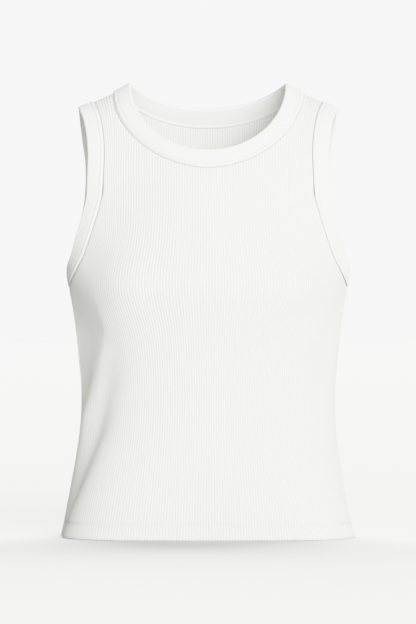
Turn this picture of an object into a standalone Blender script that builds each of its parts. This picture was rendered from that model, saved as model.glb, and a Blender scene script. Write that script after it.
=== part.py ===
"""Ribbed, cropped tank top in the form it takes when worn: hollow, open at neck, armholes and hem.

Front panel, back panel, neck band and two armhole bands, each a closed wall of cloth.
Sizes below are in millimetres; the meshes are in metres. +Z is up, the front faces -Y,
+X is the wearer's left. The origin lies between the shoulders, on the line of the shoulder seams.

The skin of the garment is read at a point across (x) and a level. Up to the chest a level is a
height; above it the levels rise towards the neck, and the topmost one is the shoulder ridge.
"""

import math
from collections import namedtuple

import bmesh
import bpy
import numpy as np

for thing in list(bpy.data.objects):
    bpy.data.objects.remove(thing)

MM = 0.001  # metres in a millimetre

# Driving heights, from the shoulder line.
HEM = -481.3
PIT = -191.6  # lowest point of the armhole's open edge
BUST = -212.0
NECK_SIDE = 84.3  # half the neck opening, at the shoulder
SHOULDER_TIP = 142.0  # half the width over the shoulders

# Cloth.
WALL = 1.7  # from the middle of the ribs to the plain inside
HEM_WALL = 2.9  # where the hem is turned up
HEM_DEPTH = 17.0
HEM_STEP = 1.5  # height over which the turned-up hem thins to the wall
RIBS = 148  # on each panel
RIB_RELIEF = 0.7  # from groove to ridge
SEAM_GAP = 0.3  # least gap where a band meets a panel
SEAM_SLACK = 0.4  # more, in the middle of the panel's longest straight edges
PLANE_GAP = 0.15  # from a side or shoulder seam's plane to each panel

# Bands: folded strips.
ARM_BAND = 17.5
BAND_OUT = 0.75
BAND_IN = 1.85
BAND_LIP = 0.5  # how much thinner each face is at the fold
NECK_STATIONS = {"front": 32, "back": 28}
ARM_STATIONS = {"front": 24, "back": 24}
ACROSS_STEP = 0.06  # share of a band's width over which its slope is read
BEND_WEIGHT = 18.0  # length that a radian of bend counts for, in spacing a band's stations

# Shoulder ridge: its height and slope at the neck side, and how the slope eases on either side.
RIDGE_AT_NECK = 13.0
RIDGE_SLOPE = 0.56
RIDGE_EASE_OUT = 0.0018
RIDGE_EASE_IN = 0.00333
LIFT_FROM = -200.0  # levels above this rise towards the neck
LIFT_POWER = 1.5

# Where the front and the back start to lean in to the shoulder, and how.
Lean = namedtuple("Lean", "start power close")
LEAN = {
    "front": Lean(-215.0, 1.5, 0.7),
    "back": Lean(-170.0, 1.5, 0.7),
}
ARMHOLE_DEPTH = {"front": 55.0, "back": 50.0}  # widest, seen from the side
FACING = {"front": -1.0, "back": 1.0}

# Soft fullness over the bust, as a share of the depth, and its place and reach.
FULLNESS = 0.075
FULLNESS_X = 84.0
FULLNESS_WIDE = 44.0
FULLNESS_TALL = 42.0

# Sections of the body: depth in the middle of the front and back, how square they are.
Section = namedtuple("Section", "level front back square")
SECTIONS = (
    Section(HEM, 112.0, 108.0, 3.3),
    Section(-440.0, 107.5, 104.0, 3.0),
    Section(-400.0, 101.0, 98.0, 2.7),
    Section(-360.0, 95.5, 93.0, 2.4),
    Section(-330.0, 94.0, 91.5, 2.3),
    Section(-290.0, 97.5, 92.5, 2.25),
    Section(-250.0, 106.0, 96.5, 2.2),
    Section(BUST, 112.5, 100.0, 2.2),
    Section(-170.0, 113.0, 102.0, 2.1),
    Section(-140.0, 113.0, 102.0, 2.0),
)

# Half the width: of the side outline up to the pit, of the armhole's open edge above it.
Outline = namedtuple("Outline", "level front back")
OUTLINE = (
    Outline(HEM, 161.9, 161.9),
    Outline(-447.0, 154.6, 154.6),
    Outline(-420.0, 148.9, 148.9),
    Outline(-394.0, 143.7, 143.7),
    Outline(-368.0, 139.8, 139.8),
    Outline(-342.0, 138.7, 138.7),
    Outline(-315.0, 139.1, 139.1),
    Outline(-289.0, 141.6, 141.6),
    Outline(-262.0, 144.1, 144.1),
    Outline(-236.0, 147.6, 147.6),
    Outline(-210.0, 152.2, 152.2),
    Outline(PIT, 154.5, 154.5),
    Outline(-172.5, 148.7, 149.5),
    Outline(-158.0, 144.7, 146.6),
    Outline(-130.0, 136.3, 139.3),
    Outline(-110.0, 131.9, 136.0),
    Outline(-88.0, 131.1, 135.0),
    Outline(-70.0, 130.6, 135.7),
    Outline(-54.0, 131.6, 137.9),
    Outline(-32.0, 135.2, 140.4),
    Outline(-13.4, SHOULDER_TIP, SHOULDER_TIP),
)

# Neck curves: half width at the shoulder, drop in the middle, and the two powers of the curve.
NeckCurve = namedtuple("NeckCurve", "half drop across down")
NECK_SEAM = {
    "front": NeckCurve(102.5, 83.3, 1.87, 0.535),
    "back": NeckCurve(102.5, 35.6, 2.3, 1.0),
}
NECK_EDGE = {
    "front": NeckCurve(NECK_SIDE, 74.2, 2.0, 0.5),
    "back": NeckCurve(NECK_SIDE, 24.2, 2.5, 1.0),
}

# Largest folds: soft troughs, or ridges where the depth is negative. The place round the body
# is 0 at centre front, 1 at the wearer's left side, 2 or -2 at centre back.
Fold = namedtuple("Fold", "round_top top round_low low wide deep")
FOLDS = (
    Fold(-0.50, -285.0, -0.86, -478.0, 19.0, 4.2),
    Fold(-0.74, -300.0, -0.97, -400.0, 17.0, -2.6),
    Fold(-0.93, -222.0, -0.72, -300.0, 24.0, 3.2),
    Fold(0.66, -385.0, 0.92, -470.0, 19.0, 2.8),
    Fold(0.80, -235.0, 0.62, -325.0, 24.0, 2.2),
    Fold(1.30, -290.0, 1.12, -450.0, 20.0, 3.4),
    Fold(-1.34, -320.0, -1.16, -470.0, 20.0, 3.0),
    Fold(1.75, -335.0, 1.52, -462.0, 22.0, 2.4),
)
QUARTER_ROUND = 205.0  # about a quarter of the girth
FOLD_FADE = 26.0  # how far a fold reaches past its ends
FOLD_ENDS = 0.12  # share of a half wave that is cut from each end of a fold's swell

# Levels of the rows of faces, up to the end of each column of the knit.
LADDER = (
    HEM, -437.0, -392.0, -346.0, -300.0, -252.0,
    -208.0, -172.0, -138.0, -105.0, -75.0, -50.0, -31.0, -19.0,
)
STRAP_ROWS = (-90.0, -62.0, -40.0, -25.0)  # more, on the strap's own edge
STRAP_CLEAR = 4.0  # no row nearer than this to the level where the strap's open side starts
STRAP_FROM = -122.0  # the columns begin to follow the strap here
STRAP_FULL = -96.0
STRAP_BEND = 4  # power by which the outer columns follow it more
ROW_CLEAR = 5.0  # no row nearer than this below a column's end
INSIDE_STEP = 11.0  # between columns of the plain inside, along the panel's upper edge
SHOULDER_STEP = 6.0  # the same over the shoulder, above this level
SHOULDER_FROM = -28.0
RIM_SHARE = 0.98  # how far a strap's open side runs into the next column's place on the rim
CLIMB = 3.0  # step in which a column is followed up to its end
SLOPE_SHARE = 0.012  # half the steps over which the panel's slope is read
SLOPE_LEVEL = 1.5
SAME = 1e-6  # shares nearer than this are one column
HALVINGS = 30  # rounds of closing in on a place

COLOURS = {
    "rib": (0.80, 0.80, 0.78, 1.0),
    "band": (0.83, 0.83, 0.81, 1.0),
}


def ridge(x):
    """Height of the shoulder ridge at a distance x from the middle."""
    inward = NECK_SIDE - abs(x)
    ease = RIDGE_EASE_OUT if inward < 0 else -RIDGE_EASE_IN
    return RIDGE_AT_NECK + RIDGE_SLOPE * inward + ease * inward * inward


TIP = ridge(SHOULDER_TIP)


def smooth(knots, values, fine):
    """Values read on a finer scale, on a smooth curve that never overshoots its knots."""
    knots = np.asarray(knots, float)
    values = np.asarray(values, float)
    steps = np.diff(knots)
    rises = np.diff(values) / steps
    slopes = np.zeros(len(knots))
    for i in range(1, len(knots) - 1):
        if rises[i - 1] * rises[i] > 0:
            slopes[i] = 2 * rises[i - 1] * rises[i] / (rises[i - 1] + rises[i])
    slopes[0] = rises[0]
    slopes[-1] = rises[-1]
    i = np.clip(np.searchsorted(knots, fine) - 1, 0, len(steps) - 1)
    t = np.clip((fine - knots[i]) / steps[i], 0, 1)
    return (
        values[i] * (1 + 2 * t) * (1 - t) ** 2
        + values[i + 1] * t * t * (3 - 2 * t)
        + slopes[i] * steps[i] * t * (1 - t) ** 2
        - slopes[i + 1] * steps[i] * t * t * (1 - t)
    )


LEVELS = np.append(np.arange(HEM - 1, TIP, 0.5), TIP)
MIDDLE = {
    side: smooth([s.level for s in SECTIONS], [getattr(s, side) for s in SECTIONS], LEVELS)
    for side in FACING
}
WIDTH = {
    side: smooth([o.level for o in OUTLINE], [getattr(o, side) for o in OUTLINE], LEVELS)
    for side in FACING
}
SQUARE = smooth([s.level for s in SECTIONS], [s.square for s in SECTIONS], LEVELS)
# A section closes at the side seam below the pit; above it, it just runs out to the open edge.
CLOSING = smooth(
    [HEM, -440, -360, -215, PIT, -183, -172, -158, -140],
    [0.32, 0.36, 0.44, 0.5, 0.54, 0.62, 0.77, 0.93, 1],
    LEVELS,
)


def half_width(side, level):
    """Half the width of the front or back at a level."""
    return np.interp(level, LEVELS, WIDTH[side])


def edge_depth(side, level):
    """Depth of the armhole's open edge: an ellipse, seen from the side."""
    middle = (TIP + PIT) / 2
    reach = (level - middle) / (TIP - middle)
    return ARMHOLE_DEPTH[side] * np.sqrt(np.clip(1 - reach * reach, 0, 1))


def middle_depth(side, level):
    """Depth in the middle of the front or back."""
    lean = LEAN[side]
    up = np.clip((level - lean.start) / (TIP - lean.start), 0, 1)
    return np.interp(level, LEVELS, MIDDLE[side]) * (1 - up**lean.power) ** lean.close


def turned_at_edge(side, level):
    """How far a section has closed where it meets the armhole's open edge; 1 at a side seam."""
    closing = np.interp(level, LEVELS, CLOSING)
    ratio = edge_depth(side, level) / np.maximum(middle_depth(side, level), 0.001)
    return 1 - ratio ** (1 / closing)


def depth(side, x, level):
    """How far the skin lies in front of, or behind, the line of the shoulders."""
    across = np.clip(np.abs(x) / half_width(side, level), 0, 1)
    square = np.interp(level, LEVELS, SQUARE)
    closing = np.interp(level, LEVELS, CLOSING)
    middle = middle_depth(side, level)
    turned = across**square * turned_at_edge(side, level)
    deep = middle * np.clip(1 - turned, 0, None) ** closing
    if side == "front":
        wide = (np.abs(x) - FULLNESS_X) / FULLNESS_WIDE
        tall = (level - BUST) / FULLNESS_TALL
        deep = deep * (1 + FULLNESS * np.exp(-wide * wide - tall * tall))
    return deep


def rise(x, level):
    """Height of a level at a distance x from the middle."""
    up = np.clip((level - LIFT_FROM) / (TIP - LIFT_FROM), 0, 1)
    return level + (ridge(x) - TIP) * up**LIFT_POWER


def skin(side, x, level):
    """A point of the garment's skin."""
    return np.array([x, FACING[side] * float(depth(side, x, level)), float(rise(x, level))])


def level_of(x, z):
    """The level that passes through a height z at a distance x from the middle."""
    return float(np.interp(z, rise(x, LEVELS), LEVELS))


# ---- armhole seam: one band's width in from the open edge


def arm_edge_level(w):
    """Level of the open edge; w runs from 0 at the shoulder tip to 1 at the pit."""
    middle = (TIP + PIT) / 2
    return middle + (TIP - middle) * math.cos(math.pi * w)


def side_x(side, deep, level):
    """Where the skin has a given depth at a level, near the side."""
    closing = np.interp(level, LEVELS, CLOSING)
    square = np.interp(level, LEVELS, SQUARE)
    turned = 1 - (deep / middle_depth(side, level)) ** (1 / closing)
    across = np.clip(turned / turned_at_edge(side, level), 0, 1)
    return float(half_width(side, level) * across ** (1 / square))


def inside_edge(side, w, width):
    """Place on the skin that lies width in from the armhole's open edge at w.

    Above the widest level it lies straight across from the edge. Below, it lies straight out
    from the edge as seen from the side, where the skin turns towards the side seam.
    """
    level = arm_edge_level(w)
    edge = skin(side, float(half_width(side, level)), level)
    turn = math.pi * w
    out = ARMHOLE_DEPTH[side] * math.cos(turn)
    forward = (TIP - PIT) / 2 * math.sin(turn)
    length = math.hypot(out, forward)
    near = 0.0
    far = 1.6 * width + 1.0
    for _ in range(HALVINGS):
        go = (near + far) / 2
        if w <= 0.5:
            low = level
            x = float(half_width(side, level)) - go
        else:
            low = level + go * out / length
            x = side_x(side, abs(edge[1]) + go * forward / length, low)
        if np.linalg.norm(skin(side, x, low) - edge) < width:
            near = go
        else:
            far = go
    return x, low


ARM_STEPS = np.linspace(0, 1, 121)
ARM_SEAM = {}
for panel_side in FACING:
    places = [inside_edge(panel_side, w, ARM_BAND + SEAM_GAP + SEAM_SLACK) for w in ARM_STEPS]
    places.sort(key=lambda place: place[1])
    ARM_SEAM[panel_side] = np.array(places)
SEAM_LOW = ARM_SEAM["front"][0][1]  # where the armhole seam crosses the side seam


def arm_seam_x(side, level):
    """Distance of the armhole seam from the middle at a level."""
    return np.interp(level, ARM_SEAM[side][:, 1], ARM_SEAM[side][:, 0])


def neck_height(curve, x):
    """Height of a neck curve at a distance x from the middle, no further out than its end."""
    across = min(abs(x) / curve.half, 1.0)
    return ridge(curve.half) - curve.drop * (1 - across**curve.across) ** curve.down


# ---- columns of the knit


def along_section(side, share, level):
    """Distance from the middle after a share of the way round a section, to its side seam."""
    across = np.sin(np.linspace(0, math.pi / 2, 80)) * half_width(side, level)
    deep = depth(side, across, level)
    length = np.append(0, np.cumsum(np.hypot(np.diff(across), np.diff(deep))))
    return float(np.interp(share * length[-1], length, across))


def strap_edge(side):
    """The last column that reaches the shoulder: its share, and its distance from the middle."""
    narrowest = ARM_SEAM[side][:, 0].min()
    for i in range(RIBS, 0, -1):
        x = along_section(side, i / RIBS, SEAM_LOW)
        if x < narrowest:
            return i / RIBS, x
    return 0.0, 0.0


STRAP = {side: strap_edge(side) for side in FACING}


def column_x(side, share, level):
    """Where a column of the knit lies at a level; shares run from -1 to 1 across the panel."""
    if level <= SEAM_LOW:
        return math.copysign(along_section(side, abs(share), level), share)
    x = along_section(side, abs(share), SEAM_LOW)
    follow = np.clip((level - STRAP_FROM) / (STRAP_FULL - STRAP_FROM), 0, 1)
    follow = follow * follow * (3 - 2 * follow)
    last = STRAP[side][1]
    x += follow * (float(arm_seam_x(side, level)) - last) * (x / last) ** STRAP_BEND
    return math.copysign(x, share)


def leaves_panel(side, share, level):
    """Whether a column has left the panel at this level."""
    if level >= TIP:
        return True
    x = abs(column_x(side, share, level))
    if abs(share) > STRAP[side][0] + SAME and x >= float(arm_seam_x(side, level)):
        return True
    neck = NECK_SEAM[side]
    return x < neck.half and rise(x, level) >= neck_height(neck, x)


def column_end(side, share):
    """The level at which a column ends, on the neck seam, shoulder seam or armhole seam."""
    if abs(share) >= 1:
        return SEAM_LOW
    low = SEAM_LOW
    while low < TIP and not leaves_panel(side, share, low + CLIMB):
        low += CLIMB
    if low >= TIP:
        return TIP
    high = min(low + CLIMB, TIP)
    for _ in range(HALVINGS):
        middle = (low + high) / 2
        if leaves_panel(side, share, middle):
            high = middle
        else:
            low = middle
    return high


def base(side, share, level):
    """A point of the unfolded panel. Past a seam's plane it goes on over the other side."""
    flip = 1.0
    if level > TIP:
        level = 2 * TIP - level
        flip = -flip
    if abs(share) > 1:
        share = math.copysign(2 - abs(share), share)
        flip = -flip
    point = skin(side, column_x(side, share, level), level)
    point[1] *= flip
    return point


def outward(side, share, level):
    """The panel's outward direction."""
    across = base(side, share + SLOPE_SHARE, level) - base(side, share - SLOPE_SHARE, level)
    up = base(side, share, level + SLOPE_LEVEL) - base(side, share, level - SLOPE_LEVEL)
    if side == "front":
        normal = np.cross(across, up)
    else:
        normal = np.cross(up, across)
    return normal / np.linalg.norm(normal)


def fold_depth(side, share, level):
    """How deep the folds press the cloth in at a place."""
    place = share if side == "front" else math.copysign(2 - abs(share), share)
    total = 0.0
    for fold in FOLDS:
        gap = (place - fold.round_top + 2) % 4 - 2
        run = (fold.round_low - fold.round_top) * QUARTER_ROUND
        drop = fold.low - fold.top
        ahead = gap * QUARTER_ROUND
        along = (ahead * run + (level - fold.top) * drop) / (run * run + drop * drop)
        off_x = ahead - along * run
        off_z = level - fold.top - along * drop
        past = max(0.0, -along, along - 1) * math.hypot(run, drop)
        reach = (off_x * off_x + off_z * off_z) / fold.wide**2 + (past / FOLD_FADE) ** 2
        wave = FOLD_ENDS + (1 - 2 * FOLD_ENDS) * min(max(along, 0.0), 1.0)
        grow = math.sin(math.pi * wave)
        total += fold.deep * grow * math.exp(-reach)
    return total


def panel_point(side, share, level, out):
    """A point of a panel's wall, out from the middle of its ribs, clear of the seams' planes."""
    normal = outward(side, share, level)
    point = base(side, share, level) + normal * (out - fold_depth(side, share, level))
    facing = FACING[side]
    point[1] = facing * max(facing * point[1], PLANE_GAP)
    if level <= HEM:
        point[2] = HEM
    return point


def bridge(faces, one, other, one_at, other_at):
    """Triangles between two rows of points, taken in the order of their places along the rows."""
    i = 0
    j = 0
    while i < len(one) - 1 or j < len(other) - 1:
        if j == len(other) - 1 or (i < len(one) - 1 and one_at[i + 1] <= other_at[j + 1] + 1e-9):
            faces.append((one[i], one[i + 1], other[j]))
            i += 1
        else:
            faces.append((one[i], other[j + 1], other[j]))
            j += 1


def column_levels(end, extra):
    """The levels of a column's points, from the hem to its end."""
    return sorted(level for level in LADDER + extra if level < end - ROW_CLEAR) + [end]


def panel_sheet(side, shares, out_at, extra, points, faces):
    """One face of a panel's wall. Gives its bottom row, its two sides and its upper edge."""
    strap = STRAP[side][0]
    ends = {share: column_end(side, share) for share in shares}
    first_out = min(share for share in shares if share > strap + SAME)
    strap_top = ends[first_out]
    columns = []
    for share in shares:
        on_strap = abs(abs(share) - strap) < SAME
        levels = column_levels(ends[share], extra + STRAP_ROWS if on_strap else extra)
        if on_strap:
            levels = [level for level in levels if abs(level - strap_top) > STRAP_CLEAR]
            levels = sorted(levels + [strap_top])
        column = []
        for level in levels:
            column.append(len(points))
            points.append(panel_point(side, share, level, out_at(share, level)))
        columns.append((share, column, levels))
    rim = []
    for (share_a, a, at_a), (share_b, b, at_b) in zip(columns, columns[1:]):
        # Beside an armhole the outermost strap column is open above the next column's end.
        keep_a = len(a)
        keep_b = len(b)
        if abs(share_a - strap) < SAME:
            keep_a = at_a.index(strap_top) + 1
        if abs(share_b + strap) < SAME:
            keep_b = at_b.index(strap_top) + 1
        bridge(faces, a[:keep_a], b[:keep_b], at_a[:keep_a], at_b[:keep_b])
    for share, column, levels in columns:
        run = [(share, column[-1])]
        if abs(abs(share) - strap) < SAME:
            # Up or down the open side of the strap, between this column's place and the next one's.
            start = levels.index(strap_top)
            beyond = math.copysign(first_out - strap, share) * RIM_SHARE
            run = [
                (share + beyond * (TIP - level) / (TIP - strap_top), column[start + k])
                for k, level in enumerate(levels[start:])
            ]
            if share > 0:
                run.reverse()
        rim += run
    bottom = [(share, column[0]) for share, column, _ in columns]
    left = list(zip(columns[0][2], columns[0][1]))
    right = list(zip(columns[-1][2], columns[-1][1]))
    return bottom, left, right, rim


def inside_shares(side, shares):
    """The columns of the plain inside: fewer, and even along the panel's upper edge."""
    strap = STRAP[side][0]
    kept = [shares[0]]
    place = base(side, shares[0], column_end(side, shares[0]))
    for share in shares[1:-1]:
        end = column_end(side, share)
        here = base(side, share, end)
        step = SHOULDER_STEP if end > SHOULDER_FROM else INSIDE_STEP
        at_strap = abs(abs(share) - strap) < SAME
        past_strap = share > 0 and abs(share - 1 / RIBS - strap) < SAME
        before_strap = share < 0 and abs(share + 1 / RIBS + strap) < SAME
        if at_strap or past_strap or before_strap or np.linalg.norm(here - place) > step:
            kept.append(share)
            place = here
    return kept + [shares[-1]]


def rib_out(share, _level):
    """Ridges and grooves of the knit, about the middle of the ribs: the same at every level."""
    column = round((share + 1) * RIBS)
    return RIB_RELIEF / 2 if column % 2 else -RIB_RELIEF / 2


def inside_out(share, level):
    """The plain inside, with the turned-up hem standing in from it."""
    if level <= HEM + HEM_DEPTH:
        return -HEM_WALL
    return -WALL


def panel(name, side, collection):
    """A panel's wall: ribbed outside, plain inside, closed round its edges."""
    points = []
    faces = []
    shares = [i / RIBS for i in range(-RIBS, RIBS + 1)]
    outside = panel_sheet(side, shares, rib_out, (), points, faces)
    hem_step = (HEM + HEM_DEPTH, HEM + HEM_DEPTH + HEM_STEP)
    plain = inside_shares(side, shares)
    inside = panel_sheet(side, plain, inside_out, hem_step, points, faces)
    for outer, inner in zip(outside, inside):
        bridge(
            faces,
            [p for _, p in outer],
            [p for _, p in inner],
            [at for at, _ in outer],
            [at for at, _ in inner],
        )
    return solid(name, points, faces, "rib", collection)


def solid(name, points, faces, colour, collection):
    """A closed object from points in millimetres, with its faces turned outwards."""
    mesh = bpy.data.meshes.new(name)
    mesh.from_pydata([tuple(p * MM) for p in points], [], faces)
    work = bmesh.new()
    work.from_mesh(mesh)
    bmesh.ops.recalc_face_normals(work, faces=work.faces)
    if work.calc_volume(signed=True) < 0:
        bmesh.ops.reverse_faces(work, faces=work.faces)
    work.to_mesh(mesh)
    work.free()
    mesh.materials.append(cloth(colour))
    thing = bpy.data.objects.new(name, mesh)
    collection.objects.link(thing)
    return thing


def cloth(colour):
    """Matt cotton knit."""
    found = bpy.data.materials.get(colour)
    if found:
        return found
    material = bpy.data.materials.new(colour)
    material.use_nodes = True
    shader = material.node_tree.nodes["Principled BSDF"]
    shader.inputs["Base Color"].default_value = COLOURS[colour]
    shader.inputs["Roughness"].default_value = 0.9
    shader.inputs["Metallic"].default_value = 0.0
    return material


# ---- bands


def even(lines, count):
    """Stations on half a band, closer where it bends, from many rows across the band."""
    middle = lines[:, 1]
    steps = np.diff(middle, axis=0)
    lengths = np.linalg.norm(steps, axis=1)
    headings = steps / lengths[:, None]
    turns = np.sum(headings[:-1] * headings[1:], axis=1)
    bends = np.append(np.arccos(np.clip(turns, -1, 1)), 0)
    at = np.append(0, np.cumsum(lengths + BEND_WEIGHT * bends))
    wanted = np.linspace(0, at[-1], count, endpoint=False)
    rows, wide, _ = lines.shape
    flat = lines.reshape(rows, wide * 3)
    read = [np.interp(wanted, at, flat[:, k]) for k in range(wide * 3)]
    return np.array(read).T.reshape(count, wide, 3)


def row_across(place, ends):
    """The seam, middle and fold of a band, each with its direction from fold to seam."""
    seam, fold = ends
    reach = (seam - fold) * ACROSS_STEP
    row = [place(seam), place((seam + fold) / 2), place(fold)]
    row.append(place(seam) - place(seam - reach))
    row.append(place((seam + fold) / 2 + reach) - place((seam + fold) / 2 - reach))
    row.append(place(fold + reach) - place(fold))
    return row


def band(name, stations, turned, collection):
    """A folded strip round an opening: a flat tube, thinner at its fold."""
    count = len(stations)
    lines = stations[:, :3]
    across = stations[:, 3:]
    along = np.roll(lines, -1, axis=0) - np.roll(lines, 1, axis=0)
    normals = np.cross(across, along) * turned
    normals /= np.linalg.norm(normals, axis=2)[:, :, None]
    offsets = (
        (0, BAND_OUT),
        (1, BAND_OUT),
        (2, BAND_OUT - BAND_LIP),
        (2, -BAND_IN + BAND_LIP),
        (1, -BAND_IN),
        (0, -BAND_IN),
    )
    points = []
    for station, out in zip(lines, normals):
        for line, offset in offsets:
            points.append(station[line] + out[line] * offset)
    faces = []
    sides = len(offsets)
    for i in range(count):
        after = (i + 1) % count
        for k in range(sides):
            up = (k + 1) % sides
            a = i * sides + k
            b = i * sides + up
            c = after * sides + up
            d = after * sides + k
            faces.append((a, b, c))
            faces.append((a, c, d))
    return solid(name, points, faces, "band", collection)


def inner_curve(curve, gap):
    """A neck curve that lies a gap inside another."""
    half = curve.half - gap
    lift = ridge(half) - ridge(curve.half)
    return curve._replace(half=half, drop=curve.drop + lift - gap)


def neck_line(side, turn, share):
    """Point of the neck band at a turn from the middle, a share of the way from fold to seam."""
    seam = inner_curve(NECK_SEAM[side], SEAM_GAP + SEAM_SLACK)
    edge = NECK_EDGE[side]
    places = []
    for curve in (edge, seam):
        x = curve.half * math.sin(turn)
        places.append(np.array([x, level_of(x, neck_height(curve, x))]))
    return skin(side, *(places[0] + (places[1] - places[0]) * share))


def neck_band(collection):
    """The band round the neck, from the wearer's right shoulder over the front and back again."""
    runs = []
    for side, start in (("front", -math.pi / 2), ("back", math.pi / 2)):
        rows = []
        for turn in np.linspace(start, -start, 700):
            rows.append(row_across(lambda share: neck_line(side, turn, share), (1.0, 0.0)))
        runs.append(even(np.array(rows), NECK_STATIONS[side]))
    return band("neck_band", np.concatenate(runs), 1, collection)


def arm_line(side, w, width):
    """Point of the armhole band's skin, a width in from the open edge."""
    if width == 0:
        level = arm_edge_level(w)
        return skin(side, float(half_width(side, level)), level)
    return skin(side, *inside_edge(side, w, width))


def armhole_band(name, hand, collection):
    """A band round one armhole; hand is 1 at the wearer's left and -1 at the right."""
    runs = []
    for side, start in (("front", 0), ("back", 1)):
        rows = []
        for w in np.linspace(start, 1 - start, 160):
            rows.append(row_across(lambda width: arm_line(side, w, width), (ARM_BAND, 0.0)))
        runs.append(even(np.array(rows), ARM_STATIONS[side]))
    stations = np.concatenate(runs)
    stations[:, :, 0] *= hand
    return band(name, stations, hand, collection)


def main():
    """Build the five pieces."""
    collection = bpy.data.collections.new("tank_top")
    bpy.context.scene.collection.children.link(collection)
    panel("front_panel", "front", collection)
    panel("back_panel", "back", collection)
    neck_band(collection)
    armhole_band("armhole_band_left", 1, collection)
    armhole_band("armhole_band_right", -1, collection)


main()
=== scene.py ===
import math

import bmesh
import bpy
import numpy as np
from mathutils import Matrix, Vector, kdtree


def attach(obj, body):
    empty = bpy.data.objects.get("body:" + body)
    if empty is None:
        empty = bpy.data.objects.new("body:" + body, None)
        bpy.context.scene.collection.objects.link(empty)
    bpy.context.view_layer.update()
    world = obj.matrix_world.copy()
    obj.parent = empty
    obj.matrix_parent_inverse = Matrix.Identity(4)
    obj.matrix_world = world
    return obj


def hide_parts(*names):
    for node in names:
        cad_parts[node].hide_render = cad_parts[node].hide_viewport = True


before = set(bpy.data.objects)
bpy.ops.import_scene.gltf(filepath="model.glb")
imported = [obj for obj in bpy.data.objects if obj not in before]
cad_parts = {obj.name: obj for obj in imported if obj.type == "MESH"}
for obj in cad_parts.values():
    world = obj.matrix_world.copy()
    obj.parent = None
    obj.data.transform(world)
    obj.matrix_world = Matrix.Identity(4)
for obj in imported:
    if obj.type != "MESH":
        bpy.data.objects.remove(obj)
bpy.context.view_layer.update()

mm = 0.001
tiny = 1e-6  # a difference that doesn't count
sides = ("front", "back")

# the worn form, in millimetres: +Z up, the front faces -Y, +X is the wearer's left
form = {
    "hem": -481.3,
    "pit": -191.6,  # lowest point of the armhole's open edge
    "bust": -212.0,
    "neckSide": 84.3,  # half the neck opening, at the shoulder
    "shoulderTip": 142.0,
    "ridgeAtNeck": 13.0,  # shoulder ridge: height and slope at the neck side, and its easing
    "ridgeSlope": 0.56,
    "ridgeEaseOut": 0.0018,
    "ridgeEaseIn": 0.00333,
    "liftFrom": -200.0,  # levels above this rise towards the neck
    "liftPower": 1.5,
    "leanPower": 1.5,
    "leanClose": 0.7,
    "leanStart": {"front": -215.0, "back": -170.0},
    "armholeDepth": {"front": 55.0, "back": 50.0},
    "armBand": 17.5,  # width of the bands round the armholes
    "facing": {"front": -1.0, "back": 1.0},
    "fullness": 0.105,  # over the bust, as a share of the depth
    "fullnessX": 102.0,
    "fullnessWide": 38.0,  # towards the middle, and towards the side seam
    "fullnessOut": 25.0,
    "fullnessTall": 50.0,
    "quarterRound": 205.0,  # about a quarter of the girth
    "foldFade": 26.0,
    "foldEnds": 0.12,
}

# depth in the middle of front and back, and how square the section is
sections = {
    "level": [-481.3, -440, -400, -360, -330, -290, -250, -212, -170, -140],
    "front": [110.0, 107.5, 104.0, 101.0, 99.5, 101.0, 106.5, 112.5, 113.0, 113.0],
    "back": [108.0, 104.0, 98.0, 93.0, 91.5, 92.5, 96.5, 100.0, 102.0, 102.0],
    "square": [3.3, 3.0, 2.7, 2.4, 2.3, 2.25, 2.2, 2.2, 2.1, 2.0],
}

# half widths: the side outline up to the pit, the armhole's open edge above it
outline = {
    "level": [-481.3, -447, -420, -394, -368, -342, -315, -289, -262, -236, -210, -191.6,
              -172.5, -158, -130, -110, -88, -70, -54, -32, -13.4],
    "both": [161.9, 154.6, 148.9, 143.7, 139.8, 138.7, 139.1, 141.6, 144.1, 147.6, 152.2, 154.5],
    "front": [148.7, 144.7, 136.3, 131.9, 131.1, 130.6, 131.6, 135.2, 142.0],
    "back": [149.5, 146.6, 139.3, 136.0, 135.0, 135.7, 137.9, 140.4, 142.0],
}

# how a section closes towards the side seam, by level
closing = {
    "level": [-481.3, -440, -360, -215, -191.6, -183, -172, -158, -140],
    "power": [0.32, 0.36, 0.44, 0.5, 0.54, 0.62, 0.77, 0.93, 1.0],
}

# neck curves: half width at the shoulder, drop in the middle, and the two powers of the curve
neckSeam = {"front": (102.5, 83.3, 1.87, 0.535), "back": (102.5, 35.6, 2.3, 1.0)}
neckEdge = {"front": (84.3, 74.2, 2.0, 0.5), "back": (84.3, 24.2, 2.5, 1.0)}

# folds: place round the body and level of the top, the same of the lower end, the width of the
# flank towards the wearer's left and of the other one, and the depth; a ridge has a depth below 0.
# The place is 0 at centre front, 1 at the wearer's left side, 2 or -2 at centre back.
folds = [
    (-0.57, -284, -0.915, -472, 22, 21, 9.0),
    (-0.74, -300, -0.97, -400, 12, 12, -1.6),
    (0.36, -236, 0.60, -250, 15, 15, 1.6),
    (0.76, -372, 0.98, -474, 18, 26, 5.0),
    (0.80, -235, 0.62, -325, 22, 20, 2.4),
    (0.56, -132, 0.80, -208, 15, 14, 1.8),
    (-0.20, -395, -0.30, -476, 22, 22, 0.9),
    (0.28, -410, 0.36, -478, 20, 24, 0.8),
    (1.30, -290, 1.12, -450, 15, 22, 4.2),
    (1.17, -222, 1.42, -300, 14, 18, 3.4),
    (-1.34, -320, -1.16, -470, 18, 13, 3.6),
    (-1.16, -225, -1.40, -290, 16, 13, 2.8),
    (1.75, -335, 1.52, -462, 18, 18, 2.6),
    (-1.72, -372, -1.60, -470, 20, 20, 1.6),
    (1.62, -120, 1.36, -196, 20, 18, 1.8),
    (-1.60, -124, -1.34, -190, 18, 20, 2.0),
    (2.02, -250, 1.98, -330, 26, 26, 1.6),
]

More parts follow.
